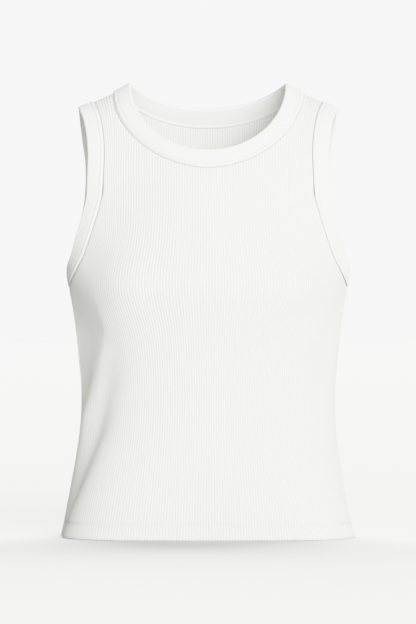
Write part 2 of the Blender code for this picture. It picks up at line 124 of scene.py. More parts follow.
# where the cloth turns away beside a crease and lies flat to the side seam: the side and hand,
# and by level the crease's distance from the middle and how flat the cloth lies behind it
creases = [
    ("front", -1, {
        "level": [-372, -353, -338, -322, -289, -270, -256, -240, -223, -207, -190, -168],
        "x": [144, 137, 129.5, 123.5, 118.5, 114, 112, 116, 122, 126, 129, 132],
        "flat": [0.0, 0.65, 1.05, 1.22, 1.3, 1.25, 1.15, 0.9, 0.7, 0.5, 0.3, 0.0],
    }),
    ("back", 1, {
        "level": [-420, -390, -350, -310, -275, -245, -215, -190],
        "x": [147, 142, 131, 122, 118, 123, 134, 140],
        "flat": [0.0, 0.3, 0.7, 0.85, 0.8, 0.6, 0.3, 0.0],
    }),
    ("back", -1, {
        "level": [-400, -360, -320, -285, -250, -220],
        "x": [144, 136, 126, 124, 133, 144],
        "flat": [0.0, 0.35, 0.55, 0.5, 0.3, 0.0],
    }),
]
# how soft the creases are, and over what share they fade out at the side seam
creaseSoft = {"across": 3.2, "along": 4.0, "atSeam": 0.03}

# how the ribs bow outwards over the bust, as a share of their place
ribBow = {"share": 0.14, "level": -206.0, "above": 36.0, "below": 44.0, "edge": 6}


def smooth(knots, values, fine):
    # a smooth curve through the knots that never overshoots them
    knots = np.asarray(knots, float)
    values = np.asarray(values, float)
    steps = np.diff(knots)
    rises = np.diff(values) / steps
    slopes = np.zeros(len(knots))
    for i in range(1, len(knots) - 1):
        if rises[i - 1] * rises[i] > 0:
            slopes[i] = 2 * rises[i - 1] * rises[i] / (rises[i - 1] + rises[i])
    slopes[0] = rises[0]
    slopes[-1] = rises[-1]
    i = np.clip(np.searchsorted(knots, fine) - 1, 0, len(steps) - 1)
    t = np.clip((fine - knots[i]) / steps[i], 0, 1)
    return (
        values[i] * (1 + 2 * t) * (1 - t) ** 2
        + values[i + 1] * t * t * (3 - 2 * t)
        + slopes[i] * steps[i] * t * (1 - t) ** 2
        - slopes[i + 1] * steps[i] * t * t * (1 - t)
    )


def easeIn(t):
    t = np.clip(t, 0, 1)
    return t * t * (3 - 2 * t)


def ridge(x):
    inward = form["neckSide"] - np.abs(x)
    ease = np.where(inward < 0, form["ridgeEaseOut"], -form["ridgeEaseIn"])
    return form["ridgeAtNeck"] + form["ridgeSlope"] * inward + ease * inward * inward


tip = float(ridge(form["shoulderTip"]))
armMiddle = (tip + form["pit"]) / 2
fineLevels = np.append(np.arange(form["hem"] - 1, tip, 0.5), tip)
middleTable = {side: smooth(sections["level"], sections[side], fineLevels) for side in sides}
widthTable = {
    side: smooth(outline["level"], outline["both"] + outline[side], fineLevels) for side in sides
}
squareTable = smooth(sections["level"], sections["square"], fineLevels)
closingTable = smooth(closing["level"], closing["power"], fineLevels)


def atLevel(table, level):
    return np.interp(level, fineLevels, table)


def halfWidth(side, level):
    return atLevel(widthTable[side], level)


def edgeDepth(side, level):
    # the armhole's open edge is an ellipse, seen from the side
    reach = (level - armMiddle) / (tip - armMiddle)
    return form["armholeDepth"][side] * np.sqrt(np.clip(1 - reach * reach, 0, 1))


def middleDepth(side, level):
    start = form["leanStart"][side]
    up = np.clip((level - start) / (tip - start), 0, 1)
    lean = (1 - up ** form["leanPower"]) ** form["leanClose"]
    return atLevel(middleTable[side], level) * lean


def turnedAtEdge(side, level):
    ratio = edgeDepth(side, level) / np.maximum(middleDepth(side, level), 0.001)
    return 1 - ratio ** (1 / atLevel(closingTable, level))


def skinDepth(side, x, level):
    across = np.clip(np.abs(x) / halfWidth(side, level), 0, 1)
    turned = across ** atLevel(squareTable, level) * turnedAtEdge(side, level)
    close = atLevel(closingTable, level)
    deep = middleDepth(side, level) * np.clip(1 - turned, 0, None) ** close
    if side == "front":
        off = np.abs(x) - form["fullnessX"]
        wide = off / np.where(off < 0, form["fullnessWide"], form["fullnessOut"])
        tall = (level - form["bust"]) / form["fullnessTall"]
        deep = deep * (1 + form["fullness"] * np.exp(-wide * wide - tall * tall))
    return deep


def rise(x, level):
    up = np.clip((level - form["liftFrom"]) / (tip - form["liftFrom"]), 0, 1)
    return level + (ridge(x) - tip) * up ** form["liftPower"]


def skin(side, x, level):
    # points of the garment's skin, from arrays of places
    y = form["facing"][side] * skinDepth(side, x, level)
    return np.stack([x + 0 * level, y, rise(x, level)], axis=-1)


def levelOf(x, z):
    # the level that passes through a height, for each place across
    return np.array([np.interp(at, rise(here, fineLevels), fineLevels) for here, at in zip(x, z)])


def neckHeight(curve, x):
    half, drop, across, down = curve
    out = np.minimum(np.abs(x) / half, 1)
    return ridge(half) - drop * (1 - out**across) ** down


def insideNeck(curve, gap):
    half = curve[0] - gap
    lift = float(ridge(half) - ridge(curve[0]))
    return (half, curve[1] + lift - gap, curve[2], curve[3])


def armEdgeLevel(w):
    return armMiddle + (tip - armMiddle) * np.cos(np.pi * w)


def sideX(side, deep, level):
    # how far from the middle the skin has this depth
    turned = 1 - (deep / middleDepth(side, level)) ** (1 / atLevel(closingTable, level))
    across = np.clip(turned / turnedAtEdge(side, level), 0, 1)
    return halfWidth(side, level) * across ** (1 / atLevel(squareTable, level))


def insideArm(side, w, width):
    # places on the skin that lie a width in from the armhole's open edge; w is 0 at the
    # shoulder tip and 1 at the pit
    level = armEdgeLevel(w)
    edge = skin(side, halfWidth(side, level), level)
    out = form["armholeDepth"][side] * np.cos(np.pi * w)
    forward = (tip - form["pit"]) / 2 * np.sin(np.pi * w)
    length = np.hypot(out, forward)
    near = np.zeros_like(w)
    far = np.full_like(w, 1.6 * width + 1.0)  # surely too far
    for _ in range(26):  # halvings
        go = (near + far) / 2
        low = np.where(w <= 0.5, level, level + go * out / length)
        turned = sideX(side, np.abs(edge[:, 1]) + go * forward / length, low)
        x = np.where(w <= 0.5, halfWidth(side, level) - go, turned)
        short = np.linalg.norm(skin(side, x, low) - edge, axis=1) < width
        near = np.where(short, go, near)
        far = np.where(short, far, go)
    return x, low


# panels
panelCloth = {
    "ribs": 148,  # on each panel
    "samples": 4,  # columns of points to a rib
    "gridStep": 2.0,  # between the levels of the skin's grid
    "gridUnder": 3.0,  # how far under the shoulder seam the even ones end
    "relief": 0.75,  # from groove to ridge
    "ridgeRound": 0.55,
    "insideRelief": 0.55,  # share of the relief that shows inside
    "insideFrom": 2.0,  # height over the hem where it begins
    "wall": 1.05,
    "hemWall": 2.1,
    "hemDepth": 17.0,
    "hemRound": 0.3,
    "hemRibs": 0.6,  # over what height the ribs begin at the hem
    "hemHeld": 12.0,  # over this height the folds leave the hem level
    "groove": 0.32,  # depth of the two grooves that the hem's stitching presses in
    "grooveOff": 0.9,  # each one's distance from the turned edge
    "grooveWide": 0.8,
    "grooveRibs": 0.5,  # share of the ribs' height that is pressed flat there
    "tuck": 3.0,  # how far the edge runs on inside a band
    "tuckSink": 0.8,  # how far the tucked edge lies under the middle of the ribs
    "flatten": 3.2,  # width over which the ribs rise beside a band
    "ditchBelow": 0.3,  # share of the ditch's shade on columns that end below the shoulder
    "rimSteps": [3.0, 3.6, 4.2, 4.8, 5.5, 6.4],  # rows of points follow the edge at these distances
    "rimReach": 40.0,  # how far below a column's end they are looked for
    "rimClear": 0.8,  # least height between them and the level rows
    "rimFrom": -250.0,  # below this level no band is near
    "foldClear": 4.5,  # width beside a band over which folds and creases grow
    "seamSink": 0.55,  # how far a panel rolls in at the side seam
    "seamRoll": 2.4,  # and over what width
    "seamGap": 0.06,  # from the seam's plane to each panel
    # heights of the rows of points over the hem; from the last one on they are a step apart
    "outsideRows": [0, 0.25, 0.8, 3.5, 7, 11, 14, 15, 15.6, 16.1, 16.6, 17, 17.4, 17.9, 18.4, 19,
                    20.5, 24, 29],
    "insideRows": [0, 0.25, 0.8, 4, 9, 14, 17.0, 17.4, 20, 28],
    "rowStep": 5.0,
    "rowClear": 1.75,  # least height between a row and a column's end
    "shoulderRows": np.array([2.6, 1.5, 0.8, 0.35, 0.1, 0.0]),  # under the shoulder seam
    "shoulderClear": 5.0,
    "strapFrom": -122.0,  # the columns begin to follow the strap here
    "strapFull": -96.0,
    "strapBend": 4,
    "strapRim": -110.0,  # the outermost strap column lies along a band from here up
    "strapRimStep": 1.0,
    "strapClear": 2.0,  # least height between its rows and the next column's end
    "openShare": 0.98,  # share of the way between the two that its open stretch takes up
    "armSamples": 161,
    "sectionSamples": 160,
}
ribCount = panelCloth["ribs"]
armTuck = {}
for side in sides:
    w = np.linspace(0, 1, panelCloth["armSamples"])
    x, low = insideArm(side, w, form["armBand"] - panelCloth["tuck"])
    order = np.argsort(low)
    armTuck[side] = (low[order], x[order])
seamTop = float(armTuck["front"][0][0])  # where the tucked edge crosses the side seam


def armX(side, level):
    return np.interp(level, *armTuck[side])


def alongSection(side, shares, level):
    quarter = np.linspace(0, np.pi / 2, panelCloth["sectionSamples"])
    across = np.sin(quarter) * halfWidth(side, level)
    deep = skinDepth(side, across, level)
    length = np.append(0, np.cumsum(np.hypot(np.diff(across), np.diff(deep))))
    return np.interp(np.abs(shares) * length[-1], length, across)


def foldPress(side, shares, levels):
    # how deep the folds press the cloth in, for a grid of places
    place = shares if side == "front" else np.copysign(2 - np.abs(shares), shares)
    total = np.zeros((len(levels), len(shares)))
    up = np.asarray(levels)[:, None]
    for roundTop, top, roundLow, low, wide, otherWide, deep in folds:
        ahead = ((place - roundTop + 2) % 4 - 2)[None, :] * form["quarterRound"]
        run = (roundLow - roundTop) * form["quarterRound"]
        drop = low - top
        along = (ahead * run + (up - top) * drop) / (run * run + drop * drop)
        offX = ahead - along * run
        offZ = up - top - along * drop
        past = np.maximum(0, np.maximum(-along, along - 1)) * math.hypot(run, drop)
        flank = np.where(offX > 0, wide, otherWide)
        reach = (offX**2 + offZ**2) / flank**2 + (past / form["foldFade"]) ** 2
        wave = form["foldEnds"] + (1 - 2 * form["foldEnds"]) * np.clip(along, 0, 1)
        total += deep * np.sin(np.pi * wave) * np.exp(-reach)
    return total


def bowed(side, shares, level):
    # the ribs' shares where the cloth spreads over the bust
    if side == "back":
        return shares
    tall = ribBow["above"] if level > ribBow["level"] else ribBow["below"]
    bow = ribBow["share"] * math.exp(-(((level - ribBow["level"]) / tall) ** 2))
    return shares + bow * shares * (1 - np.abs(shares) ** ribBow["edge"])


def soften(field, spread, axis):
    # a running average with a bell-shaped weight
    reach = int(3 * spread) + 1
    bell = np.exp(-((np.arange(-reach, reach + 1) / spread) ** 2) / 2)
    bell /= bell.sum()
    pad = [(0, 0)] * field.ndim
    pad[axis] = (reach, reach)
    wide = np.pad(field, pad, mode="edge")
    return np.apply_along_axis(lambda row: np.convolve(row, bell, mode="valid"), axis, wide)


def creaseShift(hand, table, place, shares, levels):
    # moves the cloth behind a crease towards the straight line from the crease to the side seam
    shift = np.zeros_like(place)
    columns = np.nonzero(shares * hand >= 0)[0][::hand]
    out = np.abs(shares[columns])
    for row, level in enumerate(levels):
        flat = np.interp(level, table["level"], table["flat"], left=0, right=0)
        if flat <= 0:
            continue
        line = place[row, columns]
        start = np.interp(np.interp(level, table["level"], table["x"]), np.abs(line[:, 0]), out)
        crease = np.array([np.interp(start, out, line[:, k]) for k in range(3)])
        along = (out - start) / max(1 - start, 0.01)
        chord = crease + (line[-1] - crease) * along[:, None]
        shift[row, columns] = np.where(along[:, None] > 0, flat * (chord - line), 0)
    across = creaseSoft["across"] / (2 * form["quarterRound"] / (len(shares) - 1))
    shift = soften(soften(shift, across, 1), creaseSoft["along"] / (levels[1] - levels[0]), 0)
    return shift * np.clip((1 - np.abs(shares)) / creaseSoft["atSeam"], 0, 1)[None, :, None]


def unit(arrows):
    return arrows / np.maximum(np.linalg.norm(arrows, axis=-1, keepdims=True), 1e-9)


def gridNormals(place, side):
    # outward directions of a grid of points, which goes on mirrored past the seams' planes
    mirror = np.array([1.0, -1.0, 1.0])
    wide = np.concatenate([place[:, 1:2] * mirror, place, place[:, -2:-1] * mirror], axis=1)
    tall = np.concatenate([2 * place[:1] - place[1:2], place, place[-2:-1] * mirror], axis=0)
    across = wide[:, 2:] - wide[:, :-2]
    up = tall[2:] - tall[:-2]
    return unit(np.cross(across, up) * (-form["facing"][side]))


def gridColumn(levels, column, wanted):
    # a column of the grid, read at other levels
    return np.stack([np.interp(wanted, levels, column[:, k]) for k in range(3)], axis=1)


class Panel:
    # the folded skin of a front or back, on a fine grid: rows are levels, columns run across
    def __init__(self, side):
        cloth = panelCloth
        self.side = side
        lower = np.arange(form["hem"], tip - cloth["gridUnder"], cloth["gridStep"])
        self.levels = np.append(lower, tip - cloth["shoulderRows"])
        self.shares = np.linspace(-1, 1, ribCount * cloth["samples"] + 1)
        low = alongSection(side, self.shares, seamTop)
        middle = len(self.shares) // 2
        inStrap = low < armTuck[side][1].min()
        self.strap = float(np.abs(self.shares[inStrap]).max())
        self.onStrap = np.abs(np.abs(self.shares) - self.strap) < tiny
        last = float(low[inStrap].max())
        x = np.empty((len(self.levels), len(self.shares)))
        for row, level in enumerate(self.levels):
            shares = bowed(side, self.shares, level)
            if level <= seamTop:
                x[row] = alongSection(side, shares, level)
                continue
            follow = (level - cloth["strapFrom"]) / (cloth["strapFull"] - cloth["strapFrom"])
            lean = (low / last) ** cloth["strapBend"]
            here = np.interp(np.abs(shares), self.shares[middle:], low[middle:])
            x[row] = here + easeIn(follow) * (armX(side, level) - last) * lean
        self.ends = self.findEnds(np.abs(x))
        x *= np.sign(self.shares)
        place = skin(side, x, self.levels[:, None])
        normal = gridNormals(place, side)
        self.rim = self.rimDistance(place)
        clear = easeIn((self.rim - cloth["tuck"]) / cloth["foldClear"])[..., None]
        for creaseSide, hand, table in creases:
            if creaseSide == side:
                shift = creaseShift(hand, table, place, self.shares, self.levels)
                place = place + shift * clear
        place = place - normal * foldPress(side, self.shares, self.levels)[..., None] * clear
        held = np.exp(-(self.levels - form["hem"]) / cloth["hemHeld"])[:, None]
        place[..., 2] += held * (self.levels[:, None] - place[..., 2])
        facing = form["facing"][side]
        place[..., 1] = facing * np.maximum(facing * place[..., 1], cloth["seamGap"])
        self.place = place
        self.normal = gridNormals(place, side)

    def findEnds(self, x):
        # the level at which each column runs out, on the neck, the shoulder or the armhole
        curve = insideNeck(neckSeam[self.side], panelCloth["tuck"])
        up = self.levels[:, None]
        overNeck = np.where(x < curve[0], rise(x, up) - neckHeight(curve, x), -1.0)
        outside = np.abs(self.shares) > self.strap + tiny
        overArm = np.where(outside, x - armX(self.side, up), -1.0)
        overArm[self.levels <= seamTop] = -1.0
        over = np.maximum(overNeck, overArm)
        ends = np.full(len(self.shares), tip)
        for c in range(len(self.shares)):
            crossed = np.nonzero(over[:, c] >= 0)[0]
            if len(crossed):
                r = crossed[0]
                t = over[r - 1, c] / (over[r - 1, c] - over[r, c])
                ends[c] = self.levels[r - 1] + t * (self.levels[r] - self.levels[r - 1])
        ends[[0, -1]] = seamTop
        return ends

    def rimDistance(self, place):
        # how far each point of the grid lies from the edge that is tucked into a band
        points = []
        for c, end in enumerate(self.ends):
            levels = np.array([end])
            if self.onStrap[c]:
                levels = np.arange(panelCloth["strapRim"], tip, panelCloth["strapRimStep"])
            elif end >= tip:
                continue
            points += list(gridColumn(self.levels, place[:, c], levels))
        tree = kdtree.KDTree(len(points))
        for i, point in enumerate(points):
            tree.insert(Vector(point), i)
        tree.balance()
        rim = np.full(place.shape[:2], 99.0)  # far from any band
        for row in np.nonzero(self.levels > panelCloth["rimFrom"])[0]:
            rim[row] = [tree.find(Vector(point))[2] for point in place[row]]
        return rim

    def read(self, c, levels):
        grids = (self.place, self.normal)
        return [gridColumn(self.levels, grid[:, c], levels) for grid in grids]


def zipRows(faces, one, other):
    # triangles between two rows of (place along the row, point)
    i = 0
    j = 0
    while i < len(one) - 1 or j < len(other) - 1:
        ended = j == len(other) - 1
        if ended or (i < len(one) - 1 and one[i + 1][0] <= other[j + 1][0] + tiny):
            faces.append((one[i][1], one[i + 1][1], other[j][1]))
            i += 1
        else:
            faces.append((one[i][1], other[j + 1][1], other[j][1]))
            j += 1


def joinColumns(faces, a, b):
    # four-sided faces where two columns share their rows, triangles above
    same = 0
    while same < min(len(a), len(b)) and abs(a[same][0] - b[same][0]) < tiny:
        same += 1
    if len(a) == len(b) == same + 1:
        same += 1
    for k in range(same - 1):
        faces.append((a[k][1], b[k][1], b[k + 1][1], a[k + 1][1]))
    start = max(same - 1, 0)
    zipRows(faces, a[start:], b[start:])


class Sheet:
    # a cloth wall: its faces, and its points with each one's outward direction, weight of the ribs,
    # place in the knit's map, and shade in the ditch beside a band
    def __init__(self):
        self.points = []
        self.faces = []

    def add(self, point, normal, weight, uv, shade=0.0):
        self.points.append((point, normal, weight, uv, shade))
        return len(self.points) - 1


def columnLevels(panel, c, rowLevels, strapTop, inner):
    # the levels of a column's points, up to its end
    cloth = panelCloth
    end = panel.ends[c]
    levels = [level for level in rowLevels if level < end - cloth["rowClear"]] + [end]
    if panel.onStrap[c]:
        levels = [level for level in levels if abs(level - strapTop) > cloth["strapClear"]]
        levels.append(strapTop)
    elif end >= tip:
        levels = [level for level in levels if level < tip - cloth["shoulderClear"]]
        levels += list(tip - cloth["shoulderRows"])
    elif not inner:
        # rows also follow the tucked edge at a few set distances
        near = (panel.levels < end) & (panel.levels > end - cloth["rimReach"])
        rim = np.maximum.accumulate(panel.rim[near, c][::-1])
        steps = [step for step in cloth["rimSteps"] if rim[0] < step < rim[-1]]
        close = np.interp(steps, rim, panel.levels[near][::-1])
        levels = [level for level in levels[:-1] if (abs(close - level) > cloth["rimClear"]).all()]
        levels += list(close) + [end]
    return np.array(sorted(levels))


def columnWall(panel, c, levels, inner):
    # how far out a column's points lie from the skin, their ribs' weight and their shade
    cloth = panelCloth
    above = levels - form["hem"]
    hemTurn = (cloth["hemWall"] / 2) * np.exp(-above / cloth["hemRound"])
    if inner:
        turnedUp = above < cloth["hemDepth"] + tiny
        wall = cloth["wall"] + (cloth["hemWall"] - cloth["wall"]) * turnedUp
        return hemTurn - wall, cloth["insideRelief"] * (above > cloth["insideFrom"]), 0 * above
    rim = np.interp(levels, panel.levels, panel.rim[:, c])
    risen = easeIn((rim - cloth["tuck"]) / cloth["flatten"])
    fromSeam = (1 - abs(panel.shares[c])) * form["quarterRound"]
    roll = cloth["seamSink"] * risen * np.exp(-(fromSeam / cloth["seamRoll"]) ** 2)
    groove = sum(
        np.exp(-((above - cloth["hemDepth"] + off) / cloth["grooveWide"]) ** 2)
        for off in (cloth["grooveOff"], -cloth["grooveOff"])
    )
    out = -cloth["tuckSink"] * (1 - risen) - roll - cloth["groove"] * groove - hemTurn
    begun = 1 - np.exp(-above / cloth["hemRibs"])
    weight = risen * (1 - cloth["grooveRibs"] * groove) * begun
    # painted shade in the ditch beside a band, fading out away from it
    deep = cloth["ditchBelow"] if panel.ends[c] < tip else 1.0
    return out, weight, deep * (1 - risen) ** 2


def panelFace(sheet, panel, columns, hemRows, inner):
    # one face of a panel's wall; gives its bottom row, its two sides and its upper edge
    hem = form["hem"]
    upper = np.arange(hemRows[-1], tip - hem, panelCloth["rowStep"])
    rowLevels = [hem + above for above in hemRows[:-1] + list(upper)]
    beyond = min(c for c in columns if panel.shares[c] > panel.strap + tiny)
    strapTop = panel.ends[beyond]
    rows = []
    for c in columns:
        share = panel.shares[c]
        levels = columnLevels(panel, c, rowLevels, strapTop, inner)
        out, weight, shade = columnWall(panel, c, levels, inner)
        place, normal = panel.read(c, levels)
        place = place + normal * out[:, None]
        if inner and abs(share) > 1 - tiny:
            place[:, 1] += form["facing"][panel.side] * panelCloth["wall"]
        above = levels - hem
        place[above < tiny, 2] = hem
        ribs = (share + 1) / 2 * ribCount
        rows.append((share, [
            (level, sheet.add(place[k], normal[k], weight[k], (ribs, above[k]), shade[k]))
            for k, level in enumerate(levels)
        ]))
    for (shareA, a), (shareB, b) in zip(rows, rows[1:]):
        # beside an armhole the outermost strap column is open above the next column's end
        if abs(shareA - panel.strap) < tiny:
            a = [spot for spot in a if spot[0] <= strapTop]
        if abs(shareB + panel.strap) < tiny:
            b = [spot for spot in b if spot[0] <= strapTop]
        joinColumns(sheet.faces, a, b)
    # that open stretch is part of the upper edge, placed between the two columns
    between = (panel.shares[beyond] - panel.strap) * panelCloth["openShare"]
    rimRow = []
    for c, (share, column) in zip(columns, rows):
        run = [(share, column[-1][1])]
        if panel.onStrap[c]:
            run = sorted(
                (share + math.copysign(between, share) * (tip - level) / (tip - strapTop), point)
                for level, point in column if level >= strapTop
            )
        rimRow += run
    bottom = [(share, column[0][1]) for share, column in rows]
    return bottom, rows[0][1], rows[-1][1], rimRow


def addObject(name, data):
    thing = bpy.data.objects.new(name, data)
    bpy.context.scene.collection.objects.link(thing)
    return thing


def meshPiece(name, sheet):
    points, normals, weights, uvs, shades = zip(*sheet.points)
    mesh = bpy.data.meshes.new(name)
    mesh.from_pydata([tuple(point * mm) for point in points], [], sheet.faces)
    uvs = np.array(uvs, np.float32)
    for label, kind, field, values in (
        ("outward", "FLOAT_VECTOR", "vector", normals),
        ("ribWeight", "FLOAT", "value", weights),
        ("seamShade", "FLOAT", "value", shades),
        ("ribPlace", "FLOAT", "value", uvs[:, 0]),
    ):
        layer = mesh.attributes.new(label, kind, "POINT")
        layer.data.foreach_set(field, np.array(values, np.float32).ravel())
    corner = np.empty(len(mesh.loops), np.int32)
    mesh.loops.foreach_get("vertex_index", corner)
    mesh.uv_layers.new(name="knit").data.foreach_set("uv", uvs[corner].ravel())
    work = bmesh.new()
    work.from_mesh(mesh)
    bmesh.ops.recalc_face_normals(work, faces=work.faces)
    if work.calc_volume(signed=True) < 0:
        bmesh.ops.reverse_faces(work, faces=work.faces)
    work.to_mesh(mesh)
    work.free()
    return addObject(name, mesh)


def makePanel(name, side):
    panel = Panel(side)
    sheet = Sheet()
    every = list(range(len(panel.shares)))
    some = [c for c in every if c % 2 == 0 or panel.onStrap[c - 1:c + 2].any()]
    outside = panelFace(sheet, panel, every, panelCloth["outsideRows"], False)
    inside = panelFace(sheet, panel, some, panelCloth["insideRows"], True)
    for outer, inner in zip(outside, inside):
        zipRows(sheet.faces, outer, inner)
    return meshPiece(name, sheet), panel


# bands
neckCloth = {
    "stations": {"front": 230, "back": 200},  # points along the band
    "stitchIn": 3.4,  # the topstitch, in from the seam's edge
    "lip": 0.9,  # how far the outer layer runs on over the panel
    "lipSlant": 2.2,
    "standOff": 0.6,  # how much higher the front's strip stands on the wearer's right
    "standEase": 0.3,
    "outer": 2.2,  # heights of the two faces over the skin
    "inner": -2.1,
}
armCloth = {
    "stations": {"front": 190, "back": 190},
    "stitchIn": 3.2,
    "lip": 0.8,
    "lipSlant": 1.5,
    "pitFlat": 0.7,  # how much flatter the strip is at the armpit
    "pitReach": 0.14,  # and how far up that goes
    "outer": 1.55,
    "inner": -2.05,
}
bandForm = {
    "tuck": 3.2,  # depth of the slot that takes the panel's edge, and its two heights
    "under": 0.15,
    "over": -1.32,
    "wale": 2.75,  # rib pitch
    "room": 0.4,  # in the slot, beyond the panel's edge
    "foldLong": 1.15,  # how much longer than round the fold is
    "step": 0.04,  # for slopes, as a share of the width
    "reach": 1.12,  # share of the width to which the skin is read
}


def bandProfile(cloth, width):
    # the folded strip's section: (distance in from the fold, height over the skin), a closed loop
    edge = width + cloth["lip"]
    slot = width - bandForm["tuck"] - bandForm["room"]
    stitch = width - cloth["stitchIn"]
    top = cloth["outer"]
    low = cloth["inner"]
    under = bandForm["under"]
    over = bandForm["over"]
    half = (top - low) / 2
    drop = top - under
    loop = []
    for angle in np.linspace(-80, 80, 9):  # round the fold, from the inner face to the outer
        turn = math.radians(angle)
        inward = half * (1 - math.cos(turn)) * bandForm["foldLong"]
        loop.append((inward, (top + low) / 2 + half * math.sin(turn)))
    loop += [(2.6, top - 0.1), (5.0, top), (0.5 * stitch + 2, top + 0.05)]
    dent = ((-2.4, 0.05), (-1.0, -0.06), (-0.4, -0.36), (0, -0.48), (0.4, -0.36), (0.9, 0))
    loop += [(stitch + out, top + up) for out, up in dent]
    lip = ((2.6, 0.14), (2.0, 0.04), (1.6, -0.15 * drop), (1.1, -0.38 * drop), (0.55, -0.66 * drop))
    loop += [(edge - back, top + up) for back, up in lip]
    loop += [
        (edge, under + 0.08), (edge - 0.5, under), (width - 1.5, under), (slot, under - 0.1),
        (slot, over + 0.1), (width - 1.5, over), (edge - 1.0, over), (edge - 0.5, over - 0.25),
        (edge - 0.7, low + 0.15), (edge - 1.4, low),
    ]
    dent = ((1.2, 0), (0.4, 0.2), (0, 0.28), (-0.4, 0.2), (-1.2, 0))
    loop += [(stitch + out, low + up) for out, up in dent]
    return loop + [(0.5 * stitch, low - 0.1), (2.8, low)]


def bandFrame(place, share, hand):
    # the skin's points at a share of the way from fold to seam, the way across and the way out
    step = bandForm["step"]
    low, here, high = [
        place(min(max(at, 0.0), bandForm["reach"])) for at in (share - step, share, share + step)
    ]
    along = np.roll(here, -1, axis=0) - np.roll(here, 1, axis=0)
    return here, unit(high - low), unit(np.cross(high - low, along)) * hand


def bandWidth(place):
    return float(np.median(np.linalg.norm(place(1.0) - place(0.0), axis=1)))


def overSkin(height, thick):
    # a height over the skin, once the strip is thicker or thinner by a share
    return height + max(height - bandForm["under"], 0.0) * (thick - 1)


def bandPiece(name, place, hand, cloth, thick):
    # place(share) gives the skin's points for a share of the way from fold to seam; thick is the
    # share of the strip's height over the skin, all round
    seam = place(1.0)
    width = bandWidth(place)
    run = np.linalg.norm(np.roll(seam, -1, axis=0) - seam, axis=1)
    run = np.append(0, np.cumsum(run))[:-1]
    sheet = Sheet()
    rings = []
    for inward, height in bandProfile(cloth, width):
        here, across, normal = bandFrame(place, inward / width, hand)
        points = here + normal * overSkin(height, thick)[:, None]
        if height >= bandForm["under"]:  # a higher lip slants out further
            out = cloth["lipSlant"] * np.clip((inward - width - cloth["lip"]) / 2 + 1, 0, 1)
            points += across * (out * (thick - 1))[:, None]
        rings.append([
            sheet.add(points[i], normal[i], 0.0, (run[i] / bandForm["wale"], inward))
            for i in range(len(points))
        ])
    for a, b in zip(rings, rings[1:] + rings[:1]):
        sheet.faces += zip(a, a[1:] + a[:1], b[1:] + b[:1], b)
    return meshPiece(name, sheet)


def stationsOf(cloth, ends):
    return {
        side: np.linspace(*ends[side], cloth["stations"][side], endpoint=False) for side in sides
    }


# all round the neck, along the front from the wearer's right and back again behind
neckTurn = stationsOf(neckCloth, {"front": (-1.0, 1.0), "back": (1.0, -1.0)})
# all round an armhole, down the front from the shoulder tip and up again behind
armDown = stationsOf(armCloth, {"front": (0.0, 1.0), "back": (1.0, 0.0)})


def neckPlaces(share):
    runs = []
    for side in sides:
        turn = neckTurn[side] * np.pi / 2
        places = []
        for curve in (neckEdge[side], neckSeam[side]):
            x = curve[0] * np.sin(turn)
            places.append(np.stack([x, levelOf(x, neckHeight(curve, x))], axis=1))
        place = places[0] + (places[1] - places[0]) * share
        runs.append(skin(side, place[:, 0], np.minimum(place[:, 1], tip)))
    return np.concatenate(runs)


def neckThick():
    # the strip stands up a little more on the wearer's right, where the neck pulls it
    turn = neckTurn["front"] * np.pi / 2
    front = np.clip(-np.sin(turn), 0, 1) * easeIn((turn + np.pi / 2) / neckCloth["standEase"])
    return 1 + neckCloth["standOff"] * np.append(front, np.zeros(neckCloth["stations"]["back"]))


def armPlaces(hand):
    def places(share):
        runs = []
        for side, w in armDown.items():
            if share <= 0:
                level = armEdgeLevel(w)
                runs.append(skin(side, halfWidth(side, level), level))
            else:
                runs.append(skin(side, *insideArm(side, w, share * form["armBand"])))
        return np.concatenate(runs) * (hand, 1, 1)
    return places


def armThick():
    # the strip lies flatter where it is stretched round the armpit
    down = np.concatenate([armDown[side] for side in sides])
    return 1 - armCloth["pitFlat"] * np.exp(-(((1 - down) / armCloth["pitReach"]) ** 2))


# node trees
def feed(tree, node, inputs):
    # feeds a node's inputs from sockets or nodes' first outputs, or gives them plain values
    for key, value in inputs.items():
        if isinstance(value, bpy.types.Node):
            value = value.outputs[0]
        if isinstance(value, bpy.types.NodeSocket):
            tree.links.new(value, node.inputs[key])
        else:
            node.inputs[key].default_value = value


def addNode(tree, kind, inputs=None, **settings):
    made = tree.nodes.new(kind)
    for key, value in settings.items():
        setattr(made, key, value)
    feed(tree, made, inputs or {})
    return made


def maths(tree, value, *steps):
    # takes a value through Math nodes, each an operation and its other inputs
    for operation, *others in steps:
        inputs = dict(enumerate([value, *others]))
        value = addNode(tree, "ShaderNodeMath", inputs, operation=operation)
    return value


def readAttribute(tree, name, kind):
    made = addNode(tree, "GeometryNodeInputNamedAttribute", {"Name": name}, data_type=kind)
    return made.outputs["Attribute"]


def objectPlace(tree):
    return tree.nodes.new("ShaderNodeTexCoord").outputs["Object"]


def newTree(name, kind, inputs, outputs):
    # a node group and what it is given; a number stands for an input's kind of socket and value
    tree = bpy.data.node_groups.new(name, kind + "NodeTree")
    for way, sockets in (("INPUT", inputs), ("OUTPUT", outputs)):
        for label, value in sockets.items():
            number = isinstance(value, float)
            kindOfSocket = "NodeSocket" + ("Float" if number else value)
            socket = tree.interface.new_socket(label, in_out=way, socket_type=kindOfSocket)
            if number:
                socket.default_value = value
    return tree, tree.nodes.new("NodeGroupInput").outputs


def geometryTree(name, sizes):
    inputs = {"Geometry": "Geometry", **sizes, "Material": "Material"}
    return newTree(name, "Geometry", inputs, {"Geometry": "Geometry"})


def closeTree(tree, geometry, material):
    plain = addNode(tree, "GeometryNodeRealizeInstances", {"Geometry": geometry})
    inputs = {"Geometry": plain, "Material": material}
    finished = addNode(tree, "GeometryNodeSetMaterial", inputs)
    addNode(tree, "NodeGroupOutput", {"Geometry": finished})
    return tree


